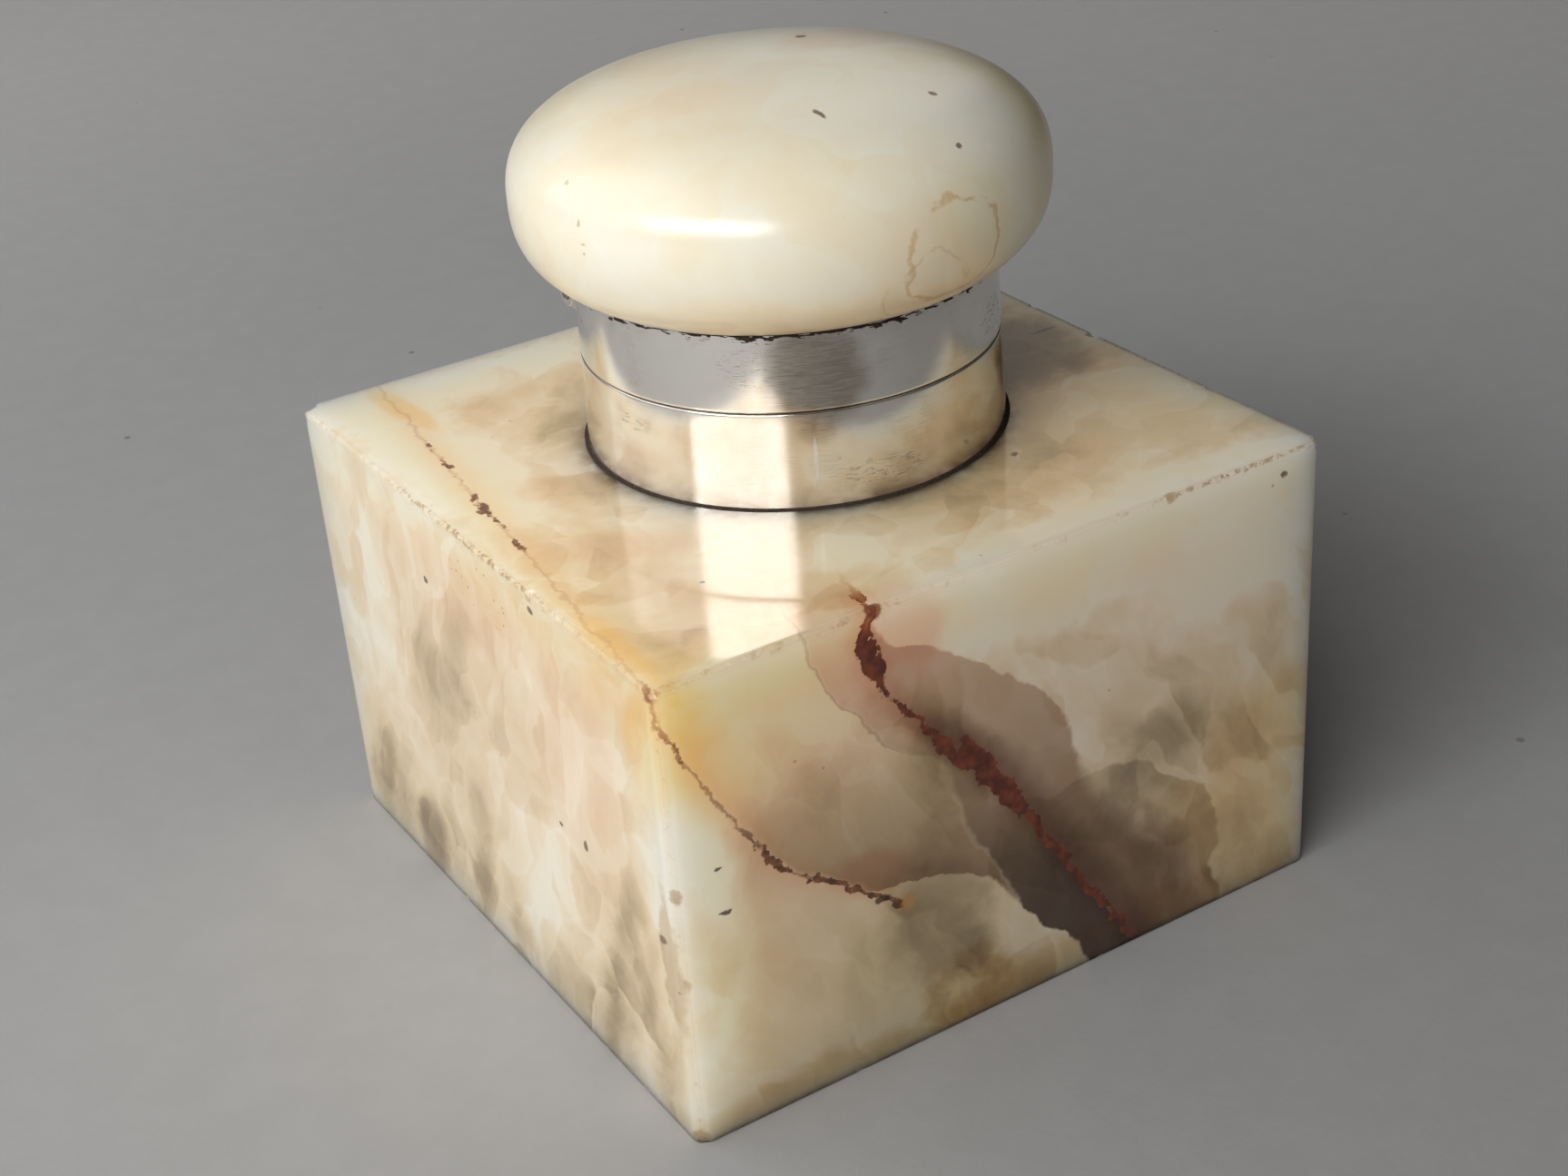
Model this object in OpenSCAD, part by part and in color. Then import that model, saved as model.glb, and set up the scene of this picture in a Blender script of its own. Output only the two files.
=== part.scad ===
// Desk inkwell: a square onyx block with a hinged onyx lid in silver collars
// and a glass ink pot hanging in its well. Millimetres, +Z up. The origin is
// the middle of the block's underside; -Y is the front and the hinge is at +Y.

/* [Block] */
// Width of the square onyx block
block_w = 76.2; // [72:0.1:90]
// Height of the onyx block
block_h = 50; // [46:0.5:60]
// Bevel along every polished edge of the block
block_bevel = 0.8; // [0.4:0.1:1.5]
// Diameter of the well bored for the ink pot
well_d = 36.4; // [35.2:0.2:37.6]
// Stone left under the well
well_floor = 8; // [5:0.5:10]

/* [Collar] */
// Outside diameter of both silver collars
collar_d = 43.2; // [42.8:0.1:46]
// Height of the lower collar above the block
lower_collar_h = 9.9; // [8:0.1:13]
// Height of the upper collar
upper_collar_h = 8.1; // [7.5:0.1:10]
// How far the collar stands to the right of the block's centre
collar_x = 1.7; // [-3:0.1:3]
// How far the collar stands behind the block's centre
collar_y = 0.8; // [-3:0.1:3]
// Width of the ring of pitch that shows round the foot of the collar
pitch_w = 0.7; // [0.4:0.1:1.2]

/* [Hinge] */
// Length of the hinge barrel
hinge_w = 26.4; // [20:0.2:30]
// Outside diameter of the hinge barrel
knuckle_d = 2.8; // [2.4:0.1:3.2]
// Distance from the back of the collar to the hinge pin
hinge_back = 2.3; // [2.1:0.1:3]
// Diameter of the hinge pin
pin_d = 1.2; // [1:0.1:1.4]

/* [Lid] */
// Largest diameter of the onyx lid
dome_d = 53.6; // [52:0.2:58]
// Height of the lid above its widest ring
dome_up = 10.8; // [8:0.2:14]
// Depth of the curve below the lid's widest ring, if it ran on to a point
dome_down = 11.4; // [10.6:0.2:13]
// Height of the lid's widest ring above the upper collar
dome_waist_h = 8.4; // [7.6:0.1:9.6]
// Fullness of the lid's curve: 2 is an ellipse, 3 is squarer
dome_power = 2.65; // [2.3:0.05:3]

/* [Ink pot] */
// Diameter of the glass ink pot below its rim
pot_d = 33.8; // [32:0.2:34]
// Thickness of the pot's wall
pot_wall = 2.6; // [1.8:0.1:3.5]
// Thickness of the pot's floor
pot_floor = 4; // [3:0.5:6]
// Height of the pot's flat rim
pot_rim_h = 2.6; // [2:0.1:2.8]

/* [Hidden] */
$fn = 96;

// Fits and gaps
split_gap = 0.15;       // between the two collars when shut
turn_gap = 0.25;        // round a knuckle that turns
lid_gap = 0.3;          // between the lid collar and the sleeve inside it
knuckle_gap = 0.12;     // between neighbouring knuckles
pin_play = 0.03;        // radial clearance of the pin in the lid's knuckles
pin_grip = 0.01;        // how tightly the lower knuckles hold the pin
eps = 0.01;

// Silver sheet
lower_wall = 1.2;
sleeve_wall = 0.8;
plate_t = 0.8;
collar_r = collar_d / 2;
sleeve_r = collar_r - lower_wall;
lid_bore_r = sleeve_r + lid_gap;
sleeve_bore_r = sleeve_r - sleeve_wall;

// Heights of the collars, from the block's underside
split_z = block_h + lower_collar_h;
lid_collar_z = split_z + split_gap;
lid_collar_top = split_z + upper_collar_h;
sleeve_top = split_z + 1.8;
pot_seat_z = split_z - 4;
seat_t = 1;

// Bed of the collar in the block
bed_r = collar_r + pitch_w;
bed_z = block_h - 3;
bed_t = 0.5;
bed_inner_r = collar_r - 2.1;
pitch_proud = 0.15;
pitch_inner_h = 2.2;

// Ink pot
pot_r = pot_d / 2;
pot_play = 0.4;
pot_rim_r = sleeve_bore_r - pot_play;
seat_hole_r = pot_r + 0.5;
pot_lift = 0.05;
pot_z = well_floor + 1.5;
pot_rim_z = pot_seat_z + pot_lift;
pot_top = pot_rim_z + pot_rim_h;
pot_bore_r = pot_r - pot_wall;
pot_corner = 3;
rim_round = 0.6;

// Hinge
hinge_y = collar_y + collar_r + hinge_back;
knuckle_count = 5;
knuckle_pitch = hinge_w / knuckle_count;
knuckle_r = knuckle_d / 2;
bearer_t = knuckle_r;
bearer_end_y = hinge_y - 0.6 * knuckle_r;
bearer_start_y = collar_y + collar_r / 2;
pin_proud = 0.2;
pin_chamfer = 0.15;

// Lid
dome_r = dome_d / 2;
film_t = 0.24;          // pitch between the collar and the onyx
seat_z = lid_collar_top + film_t;
spigot_r = lid_bore_r - 0.4;
spigot_z = split_z + 3.5;
film_r = collar_r - 0.1;
plate_rim_z = sleeve_top + lid_gap;
plate_drop = 2;
plate_dish_r = sleeve_bore_r - 1;
dome_z = lid_collar_top + dome_waist_h;
curve_steps = 20;

// One quarter of the lid's outline: h is above zero for the crown, below for the underside.
function dome_point(h, a) = [dome_r * pow(cos(a), 2 / dome_power),
    dome_z + h * pow(sin(a), 2 / dome_power)];
// The angle on the lower curve at which the onyx reaches its seat on the collar
seat_angle = asin(pow((dome_z - seat_z) / dome_down, dome_power / 2));

function bevelled_square(w, h, c) = [
    [c - w / 2, -h / 2], [w / 2 - c, -h / 2], [w / 2, c - h / 2], [w / 2, h / 2 - c],
    [w / 2 - c, h / 2], [c - w / 2, h / 2], [-w / 2, h / 2 - c], [-w / 2, c - h / 2]];

module at_collar() translate([collar_x, collar_y, 0]) children();

module at_hinge() translate([collar_x, hinge_y, split_z]) rotate([0, 90, 0]) children();

module turned(outline) at_collar() rotate_extrude() polygon(outline);

module tube(r_out, r_in, z0, z1) {
    at_collar() translate([0, 0, z0]) difference() {
        cylinder(r = r_out, h = z1 - z0);
        translate([0, 0, -1]) cylinder(r = r_in, h = z1 - z0 + 2);
    }
}

// A bar along the hinge's axis over the place of knuckle i, with its gaps
module knuckle_bar(i, r, gap) {
    at_hinge() translate([0, 0, -hinge_w / 2 + i * knuckle_pitch + gap / 2])
        cylinder(r = r, h = knuckle_pitch - gap);
}

module knuckles(first, bore_r) {
    for (i = [first : 2 : knuckle_count - 1]) difference() {
        knuckle_bar(i, knuckle_r, knuckle_gap);
        at_hinge() cylinder(r = bore_r, h = 2 * hinge_w, center = true);
    }
}

// The strip that fills the space between a round collar and its knuckles
module bearer(z0, own) {
    other = 1 - own;
    difference() {
        translate([collar_x - hinge_w / 2 + knuckle_gap / 2, bearer_start_y, z0])
            cube([hinge_w - knuckle_gap, bearer_end_y - bearer_start_y, bearer_t - split_gap]);
        at_collar() cylinder(r = collar_r, h = split_z + 20);
        for (i = [own : 2 : knuckle_count - 1]) knuckle_bar(i, knuckle_r, 0);
        for (i = [other : 2 : knuckle_count - 1]) knuckle_bar(i, knuckle_r + turn_gap, -knuckle_gap);
    }
}

module onyx_block() {
    color("antiquewhite") difference() {
        intersection() {
            linear_extrude(block_h) polygon(bevelled_square(block_w, block_w, block_bevel));
            translate([0, 0, block_h / 2]) rotate([90, 0, 0]) linear_extrude(block_w, center = true)
                polygon(bevelled_square(block_w, block_h, block_bevel));
            translate([0, 0, block_h / 2]) rotate([90, 0, 90]) linear_extrude(block_w, center = true)
                polygon(bevelled_square(block_w, block_h, block_bevel));
        }
        at_collar() translate([0, 0, well_floor]) cylinder(d = well_d, h = block_h);
        at_collar() translate([0, 0, bed_z]) cylinder(r = bed_r, h = block_h);
    }
}

// Pitch in the bed: it grips the foot of the collar on both sides and underneath.
module collar_pitch() {
    color("saddlebrown") turned([[bed_inner_r, bed_z], [bed_r, bed_z], [bed_r, block_h + pitch_proud],
        [collar_r, block_h + pitch_proud], [collar_r, bed_z + bed_t], [sleeve_r, bed_z + bed_t],
        [sleeve_r, bed_z + pitch_inner_h], [bed_inner_r, bed_z + pitch_inner_h]]);
}

module lower_collar() {
    color("silver") tube(collar_r, sleeve_r, bed_z + bed_t, split_z);
}

// The sleeve soldered inside the lower collar: it guides the lid, and its foot holds the pot.
module bezel_sleeve() {
    color("gainsboro") turned([[seat_hole_r, pot_seat_z - seat_t], [sleeve_r, pot_seat_z - seat_t],
        [sleeve_r, sleeve_top], [sleeve_bore_r, sleeve_top], [sleeve_bore_r, pot_seat_z],
        [seat_hole_r, pot_seat_z]]);
}

module hinge_bearer_lower() {
    color("darkgray") bearer(split_z - bearer_t + split_gap, 0);
}

module hinge_knuckles_lower() {
    color("silver") knuckles(0, pin_d / 2 - pin_grip);
}

module hinge_pin() {
    half = hinge_w / 2 + pin_proud;
    r = pin_d / 2;
    color("dimgray") at_hinge() rotate_extrude() polygon([[0, -half], [r - pin_chamfer, -half],
        [r, pin_chamfer - half], [r, half - pin_chamfer], [r - pin_chamfer, half], [0, half]]);
}

// Glass pot: it hangs by its rim on the sleeve's foot and lifts out when the lid is open.
module ink_pot() {
    color("lightcyan") at_collar() rotate_extrude() difference() {
        union() {
            polygon([[0, pot_z], [pot_r - pot_corner, pot_z], [pot_r, pot_z + pot_corner],
                [pot_r, pot_rim_z], [pot_rim_r, pot_rim_z], [pot_rim_r, pot_top - rim_round],
                [pot_rim_r - rim_round, pot_top], [0, pot_top]]);
            intersection() {
                translate([pot_r - pot_corner, pot_z + pot_corner]) circle(r = pot_corner);
                translate([0, pot_z]) square([pot_r, pot_corner]);
            }
        }
        polygon([[-1, pot_z + pot_floor], [pot_bore_r - pot_corner, pot_z + pot_floor],
            [pot_bore_r, pot_z + pot_floor + pot_corner], [pot_bore_r, pot_top - rim_round],
            [pot_bore_r + rim_round, pot_top + eps], [-1, pot_top + eps]]);
    }
}

module lid_collar() {
    color("silver") tube(collar_r, lid_bore_r, lid_collar_z, lid_collar_top);
}

module hinge_bearer_upper() {
    color("darkgray") bearer(lid_collar_z, 1);
}

module hinge_knuckles_upper() {
    color("gainsboro") knuckles(1, pin_d / 2 + pin_play);
}

// Dished disc soldered inside the lid collar: it closes the lid over the pot.
module lid_plate() {
    color("silver") turned([[0, plate_rim_z - plate_drop], [plate_dish_r, plate_rim_z - plate_drop],
        [plate_dish_r, plate_rim_z], [lid_bore_r, plate_rim_z], [lid_bore_r, plate_rim_z + plate_t],
        [plate_dish_r - plate_t, plate_rim_z + plate_t],
        [plate_dish_r - plate_t, plate_rim_z - plate_drop + plate_t],
        [0, plate_rim_z - plate_drop + plate_t]]);
}

// Pitch that fixes the onyx in the lid collar and squeezes out over the collar's edge
module lid_pitch() {
    color("saddlebrown") turned([[0, plate_rim_z - plate_drop + plate_t],
        [plate_dish_r - plate_t, plate_rim_z - plate_drop + plate_t],
        [plate_dish_r - plate_t, plate_rim_z + plate_t], [lid_bore_r, plate_rim_z + plate_t],
        [lid_bore_r, lid_collar_top], [film_r, lid_collar_top], [film_r, seat_z],
        [spigot_r, seat_z], [spigot_r, spigot_z], [0, spigot_z]]);
}

module onyx_lid() {
    underside = [for (i = [0 : curve_steps])
        dome_point(-dome_down, seat_angle * (1 - i / curve_steps))];
    crown = [for (i = [1 : curve_steps]) dome_point(dome_up, 90 * i / curve_steps)];
    color("antiquewhite") turned(concat([[0, spigot_z], [spigot_r, spigot_z], [spigot_r, seat_z]],
        underside, crown));
}

onyx_block();
collar_pitch();
lower_collar();
bezel_sleeve();
hinge_bearer_lower();
hinge_knuckles_lower();
hinge_pin();
ink_pot();
lid_collar();
hinge_bearer_upper();
hinge_knuckles_upper();
lid_plate();
lid_pitch();
onyx_lid();
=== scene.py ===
"""Onyx desk inkwell: a veined onyx block, a hinged onyx lid in silver collars and a glass ink pot.

Everything is in metres in the frame of the CAD model. Lengths written as plain numbers in the tables below
are millimetres, because that is how the object was measured, and MM turns them into metres.
"""

import math
import random

import bmesh
import bpy
from mathutils import Matrix, Vector, noise


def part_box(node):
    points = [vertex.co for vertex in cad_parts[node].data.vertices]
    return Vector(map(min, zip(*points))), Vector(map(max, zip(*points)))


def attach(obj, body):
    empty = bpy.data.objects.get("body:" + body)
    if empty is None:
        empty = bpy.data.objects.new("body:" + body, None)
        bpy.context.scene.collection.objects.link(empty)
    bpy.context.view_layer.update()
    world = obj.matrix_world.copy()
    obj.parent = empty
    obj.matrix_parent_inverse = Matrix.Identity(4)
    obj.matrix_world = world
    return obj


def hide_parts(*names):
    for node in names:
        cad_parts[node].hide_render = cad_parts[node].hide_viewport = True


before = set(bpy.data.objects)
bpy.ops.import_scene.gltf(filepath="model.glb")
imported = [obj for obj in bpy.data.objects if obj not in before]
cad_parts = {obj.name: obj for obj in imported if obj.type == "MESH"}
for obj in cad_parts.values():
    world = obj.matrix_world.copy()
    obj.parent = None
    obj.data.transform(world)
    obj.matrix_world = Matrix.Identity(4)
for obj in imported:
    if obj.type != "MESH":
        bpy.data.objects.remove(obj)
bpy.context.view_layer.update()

MM = 0.001

# -------- sizes taken from the frame

def in_mm(corners):
    return [corner / MM for corner in corners]


def half_width(low, high):
    return (high.x - low.x) / 2


BLOCK_HI = in_mm(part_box("onyx_block"))[1]
COLLAR_LO, COLLAR_HI = in_mm(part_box("lower_collar"))
LID_COLLAR_LO, LID_COLLAR_HI = in_mm(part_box("lid_collar"))
SLEEVE_LO, SLEEVE_HI = in_mm(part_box("bezel_sleeve"))
PITCH_LO = in_mm(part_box("collar_pitch"))[0]
DOME_LO, DOME_HI = in_mm(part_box("onyx_lid"))
POT_LO, POT_HI = in_mm(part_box("ink_pot"))
PLATE_LO, PLATE_HI = in_mm(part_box("lid_plate"))
PIN_LO, PIN_HI = in_mm(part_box("hinge_pin"))
KNUCKLE_LO, KNUCKLE_HI = in_mm(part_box("hinge_knuckles_lower"))

HALF = BLOCK_HI.x
TOP = BLOCK_HI.z
CENTRE = (COLLAR_LO + COLLAR_HI) / 2
CENTRE.z = 0
COLLAR_R = half_width(COLLAR_LO, COLLAR_HI)
SPLIT = COLLAR_HI.z
DOME_R = half_width(DOME_LO, DOME_HI)
PLATE_R = half_width(PLATE_LO, PLATE_HI)
HINGE = (KNUCKLE_LO + KNUCKLE_HI) / 2
KNUCKLE_R = (KNUCKLE_HI.z - KNUCKLE_LO.z) / 2
HINGE_W = KNUCKLE_HI.x - KNUCKLE_LO.x
PIN_R = (PIN_HI.z - PIN_LO.z) / 2

# -------- small mesh tools

def new_object(name, mesh):
    piece = bpy.data.objects.new(name, mesh)
    bpy.context.scene.collection.objects.link(piece)
    return piece


def rounded(outline, steps=6):
    """The outline's points with each (r, z, radius) corner turned into an arc of that radius."""
    points = []
    count = len(outline)
    for i, corner in enumerate(outline):
        here = Vector(corner[:2])
        radius = corner[2] if len(corner) > 2 else 0
        if not radius:
            points.append(here)
            continue
        before = (Vector(outline[i - 1][:2]) - here).normalized()
        after = (Vector(outline[(i + 1) % count][:2]) - here).normalized()
        half_angle = before.angle(after) / 2
        reach = radius / math.tan(half_angle)
        middle = here + (before + after).normalized() * radius / math.sin(half_angle)
        start = here + before * reach - middle
        sweep = math.pi - 2 * half_angle
        turn = -1 if before.cross(after) > 0 else 1
        for k in range(steps + 1):
            angle = turn * sweep * k / steps
            points.append(middle + Matrix.Rotation(angle, 2) @ start)
    return points


def lathe(name, outline, centre=None, segments=192, wobble=0.0, seed=0.0):
    """A turned solid: the closed outline of (r, z) points in mm goes round the vertical axis at centre."""
    centre = CENTRE if centre is None else centre
    bm = bmesh.new()
    rings = []
    for r, z in outline:
        if r < 1e-6:
            rings.append([bm.verts.new(Vector((centre.x, centre.y, z)) * MM)])
            continue
        ring = []
        for k in range(segments):
            angle = math.tau * k / segments
            spot = Vector((r * math.cos(angle), r * math.sin(angle), z))
            if wobble:
                swell = noise.fractal(spot * 0.11 + Vector((seed, 0, 0)), 0.8, 2.0, 3)
                spot.xy *= 1 + wobble * swell / r
            ring.append(bm.verts.new((spot + Vector((centre.x, centre.y, 0))) * MM))
        rings.append(ring)
    return close_rings(name, bm, rings, segments)


def close_rings(name, bm, rings, segments, smooth_angle=35):
    """The closed skin through the rings of vertices; a ring of one vertex is a point on the axis."""
    for low, high in zip(rings, rings[1:] + rings[:1]):
        if len(low) == 1 and len(high) == 1:
            continue
        for k in range(segments):
            corners = [low[k % len(low)], low[(k + 1) % len(low)],
                       high[(k + 1) % len(high)], high[k % len(high)]]
            bm.faces.new(list(dict.fromkeys(corners)))
    bmesh.ops.recalc_face_normals(bm, faces=bm.faces)
    return finish_mesh(name, bm, smooth_angle)


def finish_mesh(name, bm, smooth_angle=35):
    for face in bm.faces:
        face.smooth = True
    mesh = bpy.data.meshes.new(name)
    bm.to_mesh(mesh)
    bm.free()
    mesh.set_sharp_from_angle(angle=math.radians(smooth_angle))
    return new_object(name, mesh)


def apply_modifiers(piece):
    bpy.context.view_layer.update()
    evaluated = piece.evaluated_get(bpy.context.evaluated_depsgraph_get())
    mesh = bpy.data.meshes.new_from_object(evaluated)
    piece.modifiers.clear()
    piece.data = mesh


# -------- small material tools

class Graph:
    """A node material with a Principled shader, and short names for the nodes it uses."""

    def __init__(self, name):
        self.material = bpy.data.materials.new(name)
        self.material.use_nodes = True
        self.tree = self.material.node_tree
        self.tree.nodes.clear()
        self.output = self.node("ShaderNodeOutputMaterial")
        self.shader = self.node("ShaderNodeBsdfPrincipled")
        self.tree.links.new(self.shader.outputs[0], self.output.inputs["Surface"])
        place = self.node("ShaderNodeTexCoord").outputs["Object"]
        self.place = self.vector("SCALE", place, scale=1 / MM)

    def node(self, kind, *values, **settings):
        """A new node with these settings, and its first inputs set to or linked to these values."""
        made = self.tree.nodes.new(kind)
        for key, value in settings.items():
            setattr(made, key, value)
        for socket, value in zip(made.inputs, values):
            self.put(socket, value)
        return made

    def fill(self, node, **values):
        for key, value in values.items():
            self.put(node.inputs[key], value)
        return node

    def put(self, socket, value):
        if isinstance(value, bpy.types.NodeSocket):
            self.tree.links.new(value, socket)
        elif value is not None:
            socket.default_value = value

    def shade(self, **values):
        for key, value in values.items():
            if isinstance(value, tuple) and len(value) == 3 and key.endswith("Color"):
                value = (*value, 1)
            self.put(self.shader.inputs[key.replace("_", " ")], value)

    def math(self, operation, *values):
        return self.node("ShaderNodeMath", *values, operation=operation).outputs[0]

    def times(self, product, *factors):
        for factor in factors:
            product = self.math("MULTIPLY", product, factor)
        return product

    def minus(self, a, b):
        return self.math("SUBTRACT", a, b)

    def absolute(self, a):
        return self.math("ABSOLUTE", a)

    def scale_add(self, a, scale, added):
        return self.math("MULTIPLY_ADD", a, scale, added)

    def vector(self, operation, a, b=None, scale=None):
        made = self.node("ShaderNodeVectorMath", a, b, operation=operation)
        if scale is not None:
            self.put(made.inputs["Scale"], scale)
        return made.outputs["Value" if operation in ("LENGTH", "DISTANCE", "DOT_PRODUCT") else "Vector"]

    def stretched(self, x, y, z):
        return self.vector("MULTIPLY", self.place, (x, y, z))

    def reach(self, at, centre, radii):
        """How far a place is from the centre, over the radii."""
        return self.vector("LENGTH", self.vector("DIVIDE", self.vector("SUBTRACT", at, centre), radii))

    def parts(self, a):
        return list(self.node("ShaderNodeSeparateXYZ", a).outputs)

    def join(self, x, y, z):
        return self.node("ShaderNodeCombineXYZ", x, y, z).outputs[0]

    def noise(self, size, detail=2.0, rough=0.5, colour=False, at=None):
        made = self.fill(self.node("ShaderNodeTexNoise"), Vector=at or self.place, Scale=1 / size,
                         Detail=detail, Roughness=rough)
        return made.outputs["Color" if colour else "Fac"]

    def warped(self, size, amount, detail=3.0, at=None):
        """The place, pushed about by up to half of amount, in bends of that size."""
        at = at or self.place
        bend = self.vector("SUBTRACT", self.noise(size, detail, 0.55, colour=True, at=at), (0.5,) * 3)
        return self.vector("ADD", at, self.vector("SCALE", bend, scale=amount))

    def cells(self, size):
        """How far away the nearest of the points scattered about that size apart is, over that size."""
        made = self.fill(self.node("ShaderNodeTexVoronoi"), Vector=self.place, Scale=1 / size)
        return made.outputs["Distance"]

    def step(self, value, low, high, from_out=0.0, to_out=1.0):
        """Smoothly from from_out to to_out as value goes from low to high."""
        made = self.node("ShaderNodeMapRange", value, low, high, from_out, to_out,
                         interpolation_type="SMOOTHSTEP")
        return made.outputs[0]

    def near(self, value, outer, inner):
        """1 where value is within inner of zero, 0 where it is outer or more away."""
        return self.step(self.absolute(value), outer, inner)

    def egg(self, at, x, y, z, rx, ry, rz):
        """1 in an egg-shaped spot and 0 outside it."""
        return self.step(self.reach(at, (x, y, z), (rx, ry, rz)), 1.15, 0.7)

    def dots(self, apart, outer, inner, patch, bare, full):
        """Scattered dots, that far apart on average, in patches of that size."""
        dot = self.step(self.cells(apart), outer, inner)
        return self.times(dot, self.step(self.noise(patch, 2, 0.5), bare, full))

    def strand(self, offset, width):
        """A ragged line along a sheet: offset is the distance from the sheet, width its half width."""
        line = self.near(offset, self.math("ADD", width, 0.14), width)
        return self.times(line, self.step(width, 0.0, 0.16))

    def blend(self, factor, a, b, mode="MIX"):
        made = self.node("ShaderNodeMix", data_type="RGBA", blend_type=mode)
        self.put(made.inputs["Factor"], factor)
        for key, value in (("A", a), ("B", b)):
            socket = next(s for s in made.inputs if s.name == key and s.type == "RGBA")
            self.put(socket, (*value, 1) if isinstance(value, tuple) else value)
        return next(s for s in made.outputs if s.type == "RGBA")

    def paint(self, colour, mask, amount, tint):
        """The colour, covered by the tint: by amount where mask is 1."""
        return self.blend(self.times(mask, amount), colour, tint)

    def darken(self, colour, mask, amount, tint):
        """The colour, multiplied by the tint: by amount where mask is 1."""
        return self.blend(self.times(mask, amount), colour, tint, "MULTIPLY")

    def ramp(self, value, stops):
        made = self.node("ShaderNodeValToRGB", value)
        band = made.color_ramp.elements
        while len(band) < len(stops):
            band.new(0.5)
        for element, (spot, colour) in zip(band, stops):
            element.position = spot
            element.color = (*colour, 1)
        return made.outputs["Color"]

    def curve(self, value, points, low, high):
        """A smooth curve through the given (input, output) points; outputs lie between low and high."""
        made = self.node("ShaderNodeFloatCurve")
        first, last = points[0][0], points[-1][0]
        self.put(made.inputs["Value"], self.step_line(value, first, last, 0, 1))
        line = made.mapping.curves[0]
        wanted = [((x - first) / (last - first), (y - low) / (high - low)) for x, y in points]
        while len(line.points) < len(wanted):
            line.points.new(0.5, 0.5)
        for point, spot in zip(line.points, wanted):
            point.location = spot
        made.mapping.update()
        return self.step_line(made.outputs[0], 0, 1, low, high)

    def step_line(self, value, low, high, from_out, to_out):
        return self.node("ShaderNodeMapRange", value, low, high, from_out, to_out, clamp=True).outputs[0]

    def bump(self, height, distance):
        made = self.fill(self.node("ShaderNodeBump"), Strength=1.0, Distance=distance * MM, Height=height)
        self.shade(Normal=made.outputs[0])


# -------- onyx

# Colours are linear. The ramp goes from the stone's darkest smoke to its palest cloud.
STONE_RAMP = [(0.0, (0.085, 0.058, 0.035)), (0.25, (0.24, 0.175, 0.102)), (0.5, (0.49, 0.375, 0.228)),
              (0.75, (0.80, 0.640, 0.435)), (1.0, (0.94, 0.84, 0.685))]
LID_RAMP = [(0.0, (0.58, 0.455, 0.285)), (0.4, (0.81, 0.665, 0.455)), (0.7, (0.93, 0.788, 0.600)),
            (1.0, (0.97, 0.870, 0.735))]
ORANGE = (1.0, 0.85, 0.63)
PEACH = (1.0, 0.92, 0.78)
BLUSH = (1.0, 0.94, 0.92)
MAUVE = (0.93, 0.77, 0.74)
LEAF = (0.985, 1.0, 0.94)

# Where in the endless noise the block and the lid are cut from.
STONE_SHIFT = (13.0, -22.0, 8.0)
LID_SHIFT = (60, 15, -20)

# The crystals of the block all lie along one direction, which is why its streaks slant on every face.
GRAIN = Vector((0.54, 0.38, -0.87)).normalized()

# The red vein on the front face, as (height, x), and its half width, as (height, half width), in mm. It runs
# into the stone as a wavy sheet.
MAIN_VEIN = [(-1, 15.5), (2, 13.5), (5.3, 11.3), (9, 9.0), (13.2, 6.3), (17.4, 3.7), (20.8, 1.6),
             (24.3, -0.9), (27.8, -3.3), (30.8, -5.7), (33.5, -8.5), (35, -9.8), (36.5, -11.0),
             (38.2, -12.7), (40.6, -14.3), (42.6, -15.2), (45.2, -16.1), (47.6, -16.6), (49.5, -15.9),
             (51.3, -14.7)]
MAIN_WIDTH = [(-1, 0.4), (2, 0.45), (5.3, 0.5), (9, 0.5), (13.2, 0.5), (17.4, 0.55), (20.8, 0.7),
              (24.3, 0.95), (27.8, 1.35), (30.8, 1.45), (33.5, 1.0), (35, 0.4), (36.5, 0.2), (38.2, 0.3),
              (40.6, 0.15), (42.6, 0.45), (45.2, 0.9), (47.6, 0.8), (49.5, 0.45), (51.3, 0.2)]
# The thin vein: its place on the front face, then its half width there by height and on the top by y.
THIN_VEIN = [(10, -7.6), (14, -11.0), (16.5, -13.8), (19, -16.0), (21, -18.6), (23, -21.4), (25.5, -24.2),
             (28, -27.2), (31, -29.2), (34.5, -31.4), (39, -33.8), (44.5, -36.4), (49.5, -38.0),
             (51, -38.1)]
THIN_FRONT = [(14, 0.0), (16.6, 0.0), (17.4, 0.4), (18.4, 0.35), (19.3, 0.55), (20.4, 0.2), (22, 0.35),
              (23.5, 0.4), (25, 0.6), (26.5, 0.25), (28, 0.45), (30, 0.3), (31.5, 0.1), (35, 0.05),
              (40, 0.05), (44, 0.12), (47, 0.04), (51, 0.1)]
THIN_TOP = [(-38.1, 0.12), (-30, 0.0), (-20, 0.02), (-9, 0.0), (-6, 0.2), (-4, 0.0), (-1, 0.18), (1, 0.2),
            (2.5, 0.5), (4, 0.2), (5.5, 0.4), (7, 0.0), (9, 0.0), (10.5, 0.15), (12, 0.0), (14.5, 0.2),
            (17, 0.0), (20, 0.18), (22, 0.0), (38.1, 0.0)]
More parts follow.
